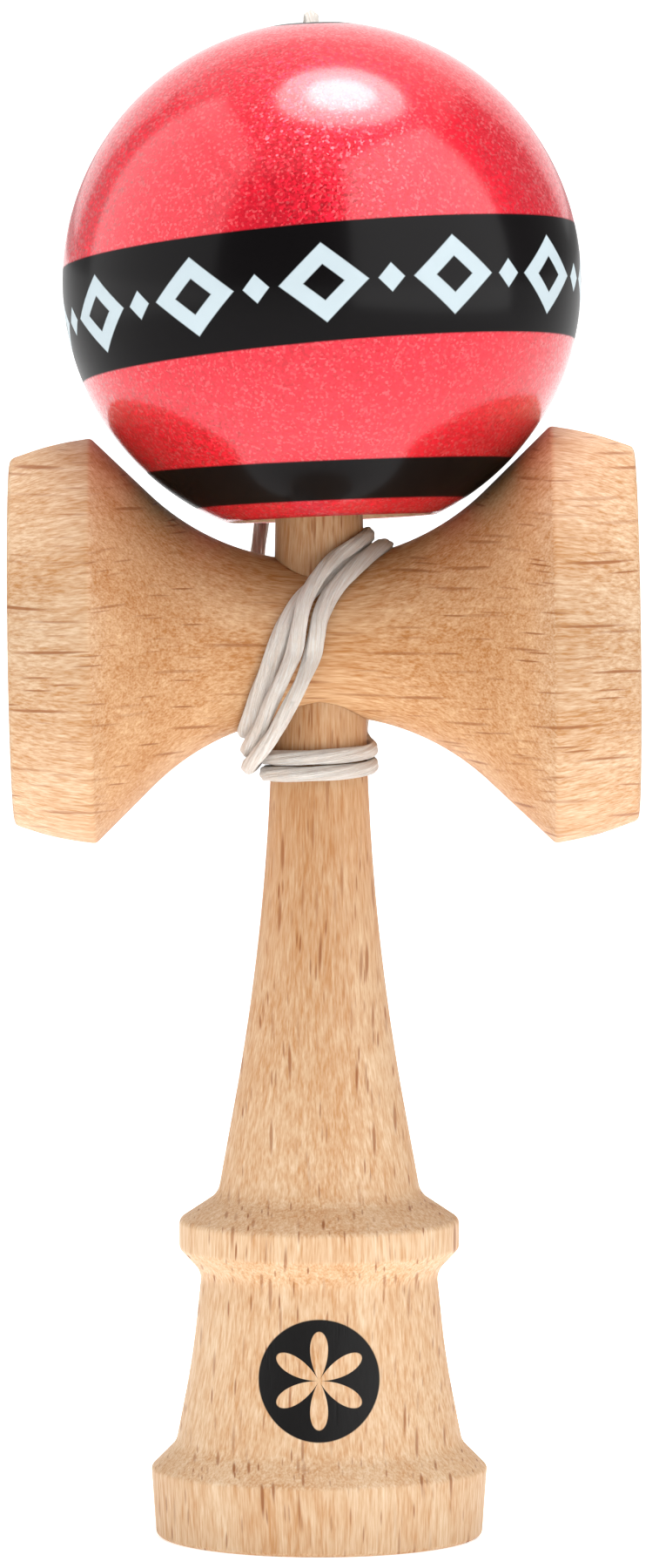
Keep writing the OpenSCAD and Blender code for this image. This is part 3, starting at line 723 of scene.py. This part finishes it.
def twisted_tube(name, path, d, sides, plies, lay, depth, finish, closed=False):
    """A string along a path in mm: plies that twist once in each lay, with grooves between them."""
    n = len(path)
    verts, faces, uvs = [], [], []
    side = None
    run = 0.0
    runs = []
    for i, p in enumerate(path):
        if closed:
            way = (path[(i + 1) % n] - path[i - 1]).normalized()
        else:
            way = (path[min(i + 1, n - 1)] - path[max(i - 1, 0)]).normalized()
        if side is None:
            side = way.orthogonal()
        side = (side - way * side.dot(way)).normalized()
        other = way.cross(side)
        if i:
            run += (p - path[i - 1]).length
        runs.append(run)
        flat, press, width = (0, side, d) if closed else pressed(p)
        press = (press - way * press.dot(way)).normalized()
        spread = way.cross(press)
        for k in range(sides):
            a = 2 * math.pi * k / sides
            wave = abs(math.cos(plies / 2 * (a + 2 * math.pi * run / lay)))
            r = d / 2 * (1 - depth + depth * wave ** PLY_ROUND)
            reach = r * (math.cos(a) * side + math.sin(a) * other)
            reach += press * reach.dot(press) * flat * (PRESSED_T / STRING_D - 1)
            reach += spread * reach.dot(spread) * flat * (width / STRING_D - 1)
            verts.append((p + reach) * MM)
    rings = n if closed else n - 1
    for i in range(rings):
        j = (i + 1) % n
        end = runs[j] if j else run + (path[0] - path[-1]).length
        for k in range(sides):
            m = (k + 1) % sides
            faces.append((i * sides + k, i * sides + m, j * sides + m, j * sides + k))
            uvs += [(k / sides, runs[i] * MM), ((k + 1) / sides, runs[i] * MM),
                    ((k + 1) / sides, end * MM), (k / sides, end * MM)]
    if not closed:
        faces.append(tuple(range(sides))[::-1])
        faces.append(tuple((n - 1) * sides + k for k in range(sides)))
        uvs += [(0.5, 0)] * sides + [(0.5, run * MM)] * sides
    mesh = bpy.data.meshes.new(name)
    mesh.from_pydata(verts, [], faces)
    layer = mesh.uv_layers.new(name="lay")
    for loop, uv in zip(layer.data, uvs):
        loop.uv = uv
    for face in mesh.polygons:
        face.use_smooth = True
    mesh.materials.append(finish)
    piece = bpy.data.objects.new(name, mesh)
    scene.collection.objects.link(piece)
    return piece, run * MM


LAY = 42.0


def cotton_finish():
    """Soft cotton, its fibres along the twisted plies."""
    s = Shader("cotton")
    lay = s.node("ShaderNodeUVMap", uv_map="lay").outputs[0]
    split = s.node("ShaderNodeSeparateXYZ", {0: lay})
    round_ = s.math("ADD", split.outputs[0], s.math("MULTIPLY", split.outputs[1], 1 / (LAY * MM)))
    turn = s.math("MULTIPLY", round_, 2 * math.pi)
    ring = s.node("ShaderNodeCombineXYZ", {0: s.math("MULTIPLY", s.math("COSINE", turn), 3.2),
                                           1: s.math("MULTIPLY", s.math("SINE", turn), 3.2),
                                           2: s.math("MULTIPLY", split.outputs[1], 110)}).outputs[0]
    fibres = s.noise(ring, 2.4, 4.0, 0.72)
    place = s.node("ShaderNodeTexCoord").outputs["Object"]
    tufts = s.noise(s.vector("MULTIPLY", place, (900, 900, 900)), 1.0, 3.0)
    tone = s.ramp(fibres, 0.3, 0.72)
    colour = s.mix(tone, srgb(226, 208, 191), srgb(255, 254, 250))
    colour = s.mix(s.math("MULTIPLY", s.ramp(tufts, 0.5, 0.75), 0.35), colour, srgb(240, 223, 206))
    s.put(s.bsdf.inputs["Base Color"], colour)
    s.bsdf.inputs["Roughness"].default_value = 0.92
    s.bsdf.inputs["Specular IOR Level"].default_value = 0.15
    s.bsdf.inputs["Sheen Weight"].default_value = 0.25
    s.bsdf.inputs["Sheen Roughness"].default_value = 0.5
    height = s.math("ADD", fibres, s.math("MULTIPLY", tufts, 0.4))
    bump = s.node("ShaderNodeBump", {"Height": height, "Strength": 1.0, "Distance": 0.0005})
    s.put(s.bsdf.inputs["Normal"], bump.outputs[0])
    return s.material


cotton = cotton_finish()
string_path = smooth_path(string_route, 0.36)
string, string_length = twisted_tube("string", string_path, STRING_D, sides=36, plies=6, lay=LAY,
                                     depth=0.17, finish=cotton)
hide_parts("string_winding", "string_lead", "string_tail")
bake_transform(string)

# The end knots: the string's own cotton drawn into a tight three-loop knot, one in the pocket inside
# the cross-piece and one under the bead.
KNOT_H = 2.0
KNOT_SPREAD = 0.355
KNOT_RISE = 0.42
KNOT_STRAND_D = 1.16
KNOT_STEPS = 84
KNOT_OFF_TAPER = 0.2
BEAD_KNOT_AT = 7.58


def end_knot(name, foot, way, body, replaced):
    """A closed three-loop knot, standing on its foot."""
    across = way.orthogonal().normalized()
    other = way.cross(across)
    path = []
    for k in range(KNOT_STEPS):
        t = 2 * math.pi * k / KNOT_STEPS
        x = (math.sin(t) + 2 * math.sin(2 * t)) * KNOT_SPREAD
        y = (math.cos(t) - 2 * math.cos(2 * t)) * KNOT_SPREAD
        z = -math.sin(3 * t) * KNOT_RISE
        path.append(foot + across * x + other * y + way * (KNOT_H / 2 + z))
    knot, _ = twisted_tube(name, path, KNOT_STRAND_D, sides=14, plies=3, lay=6.0, depth=0.1, finish=cotton,
                           closed=True)
    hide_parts(replaced)
    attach(knot, body)


anchor_foot = HOLE_WAY * (taper_r(HOLE_Z) + KNOT_OFF_TAPER) + Vector((0, 0, HOLE_Z))
end_knot("anchor_knot_loops", anchor_foot, HOLE_WAY, "ken", "anchor_knot")
end_knot("bead_knot_loops", BALL_AT + BALL_AXIS * BEAD_KNOT_AT, BALL_AXIS, "bead", "bead_knot")

# The sarado: the cross-piece, turned from beech with its grain lying along it, with a big and a small
# cup. It is pushed onto the ken's taper, and has a drilled hole for the string at the back.
SARADO_PALE = srgb(217, 193, 165)
SARADO_DEEP = srgb(169, 120, 73)
SEAT_CLEAR = 0.06
STRING_HOLE_R = 1.25
POCKET_R = 2.0
POCKET_OFF_TAPER = 2.4
DRILL_TURN = 0.37
# The darken tint is painted shade under the ball: it turns the flanks and waist within 24 mm of the middle
# darker and more orange, fading out by 27.5 mm so the rim bands stay pale.
sarado_wood, _ = beech("sarado_beech", (0, math.radians(90), 0), SARADO_PALE, SARADO_DEEP, FLECK,
                       shift=(0.05, 0.02, 0.3), fleck_reach=0.018, fleck_depth=16,
                       darken=(0.0275, 0.024, 1.0, srgb(252, 238, 219)))
sarado_line = [Vector((p.x, -p.y)) for p in small_half[:0:-1]] + big_half
sarado = turned("sarado_wood", finely(sarado_line, LONGEST_STRETCH), 144, sarado_wood.material)
lean = math.pi / 2 - CROSS_LEAN
for v in sarado.data.vertices:
    x, y, z = v.co
    v.co = (x * math.cos(lean) + z * math.sin(lean), y,
            -x * math.sin(lean) + z * math.cos(lean) + CROSS_Z * MM)


def bored(piece, foot, way, r0, r1, length, sides):
    """Cuts a straight or tapered bore, in mm, out of a piece.

    The drill is turned by part of a facet, so that its corners miss those of the piece.
    """
    across = way.orthogonal().normalized()
    other = way.cross(across)
    verts, faces = [], []
    for d, r in ((0, r0), (length, r1)):
        for k in range(sides):
            a = 2 * math.pi * (k + DRILL_TURN) / sides
            verts.append((foot + way * d + r * (math.cos(a) * across + math.sin(a) * other)) * MM)
    for k in range(sides):
        m = (k + 1) % sides
        faces.append((k, m, sides + m, sides + k))
    faces.append(tuple(range(sides))[::-1])
    faces.append(tuple(range(sides, 2 * sides)))
    mesh = bpy.data.meshes.new("drill")
    mesh.from_pydata(verts, [], faces)
    outward(mesh)
    drill = bpy.data.objects.new("drill", mesh)
    scene.collection.objects.link(drill)
    cut = piece.modifiers.new("bore", "BOOLEAN")
    cut.operation = "DIFFERENCE"
    cut.solver = "EXACT"
    cut.object = drill
    seen = piece.evaluated_get(bpy.context.evaluated_depsgraph_get())
    result = bpy.data.meshes.new_from_object(seen)
    result.name = piece.data.name
    piece.modifiers.remove(cut)
    piece.data = result
    bpy.data.objects.remove(drill)
    bpy.data.meshes.remove(mesh)


up_way = Vector((0, 0, 1))
bored(sarado, Vector((0, 0, CROSS_Z - WAIST_D)), up_way, taper_r(CROSS_Z - WAIST_D) + SEAT_CLEAR,
      taper_r(CROSS_Z + WAIST_D) + SEAT_CLEAR, 2 * WAIST_D, 128)
hole_foot = Vector((0, 0, HOLE_Z))
bored(sarado, hole_foot, HOLE_WAY, STRING_HOLE_R, STRING_HOLE_R, WAIST_D, 48)
bored(sarado, hole_foot, HOLE_WAY, POCKET_R, POCKET_R, taper_r(HOLE_Z) + POCKET_OFF_TAPER, 48)
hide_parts("sarado")
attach(sarado, "ken")

# The tama: the ball, turned from hardwood, bored to take the spike, and sprayed with a red metal-flake
# lacquer, two black bands and a black cap under a clear coat. The bore and its bevel are bare wood.
BALL_R = 30.0
MOUTH_R = 12.2
HOLE_R = 10.5
HOLE_DEPTH = 39.9
BEVEL_H = 1.5
MOUTH_AT = -math.sqrt(BALL_R ** 2 - MOUTH_R ** 2)
HOLE_END = MOUTH_AT + HOLE_DEPTH
CORD_HOLE_R = 1.6
CORD_RIM_R = 2.4
RIM_AT = math.sqrt(BALL_R ** 2 - (CORD_HOLE_R + CORD_RIM_R) ** 2)
DRILL_TAN = math.tan(math.radians(59))
ARC_STEPS = 110
RIM_STEPS = 12

ball_line = [(CORD_HOLE_R, HOLE_END + (HOLE_R - CORD_HOLE_R) / DRILL_TAN), (HOLE_R, HOLE_END),
             (HOLE_R, MOUTH_AT + BEVEL_H), (MOUTH_R, MOUTH_AT)]
ball_line = finely(ball_line, 2.0)
first = math.asin(MOUTH_AT / BALL_R)
last = math.asin(RIM_AT / BALL_R)
arc = [first + (last - first) * k / ARC_STEPS for k in range(1, ARC_STEPS)]
ball_line += [Vector((BALL_R * math.cos(a), BALL_R * math.sin(a))) for a in arc]
ball_line += [Vector((CORD_HOLE_R + CORD_RIM_R * (1 - math.cos(a)), RIM_AT - CORD_RIM_R * (1 - math.sin(a))))
              for a in (math.radians(90 - 90 * k / RIM_STEPS) for k in range(RIM_STEPS + 1))]
ball_line.append(ball_line[0])

RED_DEEP = srgb(180, 2, 28)
RED = srgb(216, 18, 44)
RED_SPARKLE = srgb(230, 110, 114)
RED_CLOUD = srgb(182, 4, 28)
BLACK = srgb(9, 7, 8)
MARK = srgb(186, 200, 206)
BAND_TILT = math.sin(math.radians(2.7))
BAND_FROM, BAND_TO = -18.2, 7.7
STRIPE_FROM, STRIPE_TO = -58.9, -45.1
CAP_FROM = math.sin(math.radians(79))
CAP_EDGE = 0.0008
MARKS = 12
BAND_MIDDLE = math.sin(math.radians(-5.3))
LOZENGE_W, LOZENGE_H = 0.66, 0.15
DOT_W, DOT_H = 0.2, 0.055
FLAKE_TILT = 0.42
COAT_ON_RED, COAT_ON_BLACK = 0.85, 0.14


def lacquer_finish():
    """Red metal-flake paint with black bands and a frieze of lozenges, and bare wood in the bore."""
    s = Shader("ball_lacquer")
    place = s.node("ShaderNodeTexCoord").outputs["Object"]
    local = s.vector("SUBTRACT", place, tuple(BALL_AT * MM))
    outward_way = s.vector("NORMALIZE", local)
    depth = s.node("ShaderNodeVectorMath", {0: local}, operation="LENGTH").outputs["Value"]

    def height_on(axis):
        return s.vector("DOT_PRODUCT", outward_way, tuple(axis.normalized()), out=1)

    def between(value, low, high, edge=0.0035):
        low, high = math.sin(math.radians(low)), math.sin(math.radians(high))
        starts = s.ramp(value, low - edge, low + edge)
        ends = s.ramp(value, high - edge, high + edge, 1.0, 0.0)
        return s.math("MULTIPLY", starts, ends)

    band_axis = Vector((BALL_AXIS.x - BAND_TILT, BALL_AXIS.y + BAND_TILT, BALL_AXIS.z)).normalized()
    on_hole = height_on(BALL_AXIS)
    band = between(height_on(band_axis), BAND_FROM, BAND_TO)
    stripe = between(on_hole, STRIPE_FROM, STRIPE_TO)
    cap = s.ramp(on_hole, CAP_FROM - CAP_EDGE, CAP_FROM + CAP_EDGE)
    black = s.math("MAXIMUM", s.math("MAXIMUM", band, stripe), cap)
    flakes = s.node("ShaderNodeTexVoronoi", {"Vector": place, "Scale": 3600.0}, feature="F1")
    flake_luck = flakes.outputs["Color"]
    sparkle = s.node("ShaderNodeSeparateColor", {0: flake_luck})
    cloud = s.noise(place, 1300.0, 3.0, 0.6)
    red = s.mix(s.ramp(sparkle.outputs[0], 0.0, 1.0), RED_DEEP, RED)
    red = s.mix(s.math("MULTIPLY", s.ramp(sparkle.outputs[1], 0.7, 0.97), 0.36), red, RED_SPARKLE)
    red = s.mix(s.math("MULTIPLY", s.ramp(cloud, 0.4, 0.7), 0.3), red, RED_CLOUD)
    east = Vector((1, 0, 0))
    east = (east - band_axis * east.dot(band_axis)).normalized()
    north = band_axis.cross(east)
    turn = s.math("ARCTAN2", height_on(east), s.math("MULTIPLY", height_on(north), -1.0))
    share = s.math("FRACT", s.math("ADD", s.math("DIVIDE", turn, 2 * math.pi / MARKS), 0.5))
    aside = s.math("MULTIPLY", s.math("ABSOLUTE", s.math("SUBTRACT", share, 0.5)), 2.0)
    level = s.math("ABSOLUTE", s.math("SUBTRACT", height_on(band_axis), BAND_MIDDLE))
    lozenge = s.math("ADD", s.math("DIVIDE", aside, LOZENGE_W), s.math("DIVIDE", level, LOZENGE_H))
    marks = s.ramp(lozenge, 0.98, 1.02, 1.0, 0.0)
    core = s.ramp(lozenge, 0.44, 0.48, 1.0, 0.0)
    marks = s.math("SUBTRACT", marks, core)
    dot = s.math("ADD", s.math("DIVIDE", s.math("SUBTRACT", 1.0, aside), DOT_W), s.math("DIVIDE", level, DOT_H))
    marks = s.math("MAXIMUM", marks, s.ramp(dot, 0.95, 1.05, 1.0, 0.0))
    ink = s.mix(s.math("MULTIPLY", marks, band), BLACK, MARK)
    paint = s.mix(black, red, ink)
    wood_tone = s.noise(s.vector("MULTIPLY", place, (900, 900, 120)), 1.0, 3.0)
    bare_wood = s.mix(s.ramp(wood_tone, 0.3, 0.7), srgb(232, 200, 164), srgb(205, 158, 114))
    bare = s.ramp(depth, BALL_R * MM - 0.00005, BALL_R * MM - 0.00016)
    below = s.ramp(on_hole, 0.2, 0.25, 1.0, 0.0)
    near_axis = s.vector("LENGTH", s.vector("CROSS_PRODUCT", local, tuple(BALL_AXIS)), out=1)
    inner = s.ramp(near_axis, 0.0017, 0.0019, 1.0, 0.0)
    bare = s.math("MULTIPLY", bare, s.math("MAXIMUM", below, inner))
    in_bore = s.ramp(near_axis, HOLE_R * MM + 0.00008, HOLE_R * MM + 0.0001, 1.0, 0.0)
    deep = s.math("MULTIPLY", s.ramp(depth, 0.0285, 0.0282), in_bore)
    bare = s.math("MAXIMUM", bare, deep)
    s.put(s.bsdf.inputs["Base Color"], s.mix(bare, paint, bare_wood))
    coloured = s.math("SUBTRACT", 1.0, black)
    flake_share = s.math("MULTIPLY", coloured, s.math("SUBTRACT", 1.0, bare))
    s.put(s.bsdf.inputs["Metallic"], s.math("MULTIPLY", flake_share, 0.4))
    s.put(s.bsdf.inputs["Roughness"], s.math("ADD", 0.32, s.math("MULTIPLY", bare, 0.28)))
    coat = s.ramp(black, 0.0, 1.0, COAT_ON_RED, COAT_ON_BLACK)
    s.put(s.bsdf.inputs["Coat Weight"], s.math("MULTIPLY", s.math("SUBTRACT", 1.0, bare), coat))
    s.bsdf.inputs["Coat Roughness"].default_value = 0.15
    s.bsdf.inputs["Specular IOR Level"].default_value = 0.02
    normal = s.node("ShaderNodeNewGeometry").outputs["Normal"]
    tilt = s.vector("SUBTRACT", flake_luck, (0.5, 0.5, 0.5))
    tilt_share = s.math("MULTIPLY", flake_share, FLAKE_TILT)
    tilt_by_axis = s.node("ShaderNodeCombineXYZ", {0: tilt_share, 1: tilt_share, 2: tilt_share}).outputs[0]
    tilt = s.vector("MULTIPLY", tilt, tilt_by_axis)
    s.put(s.bsdf.inputs["Normal"], s.vector("NORMALIZE", s.vector("ADD", normal, tilt)))
    s.put(s.bsdf.inputs["Coat Normal"], normal)
    return s.material


tama = turned("tama_ball", ball_line, 160, lacquer_finish())
seat = BALL_AXIS.to_track_quat("Z", "Y").to_matrix()
for v in tama.data.vertices:
    v.co = seat @ v.co + BALL_AT * MM
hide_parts("tama")
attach(tama, "tama")

# The bead: a small turned wooden bead inside the ball, drilled for the string, which holds the ball up
# and lets it turn.
BEAD_R = 4.0
BEAD_HOLE_R = 1.2
BEAD_LIP = 0.3
BEAD_HOLE_END = 3.55
BEAD_STEPS = 20
BEAD_AT = 13.78
bead_low = math.asin(-math.sqrt(BEAD_R ** 2 - (BEAD_HOLE_R + BEAD_LIP) ** 2) / BEAD_R)
bead_arc = [bead_low * (1 - k / BEAD_STEPS) for k in range(2 * BEAD_STEPS + 1)]
bead_line = [Vector((BEAD_R * math.cos(a), BEAD_R * math.sin(a))) for a in bead_arc]
bead_line += [Vector((BEAD_HOLE_R, z)) for z in (BEAD_HOLE_END, 0, -BEAD_HOLE_END)]
bead_line.append(bead_line[0])


def bead_finish():
    s = Shader("bead_wood")
    place = s.node("ShaderNodeTexCoord").outputs["Object"]
    grain = s.noise(s.vector("MULTIPLY", place, (2600, 900, 900)), 1.0, 3.0)
    colour = s.mix(s.ramp(grain, 0.3, 0.7), srgb(238, 214, 176), srgb(206, 168, 122))
    s.put(s.bsdf.inputs["Base Color"], colour)
    s.put(s.bsdf.inputs["Roughness"], s.ramp(grain, 0.3, 0.7, 0.42, 0.55))
    bump = s.node("ShaderNodeBump", {"Height": grain, "Strength": 0.3, "Distance": 0.0001})
    s.put(s.bsdf.inputs["Normal"], bump.outputs[0])
    return s.material


bead = turned("bead_wood", bead_line, 48, bead_finish())
for v in bead.data.vertices:
    v.co = seat @ v.co + (BALL_AT + BALL_AXIS * BEAD_AT) * MM
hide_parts("bead")
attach(bead, "bead")
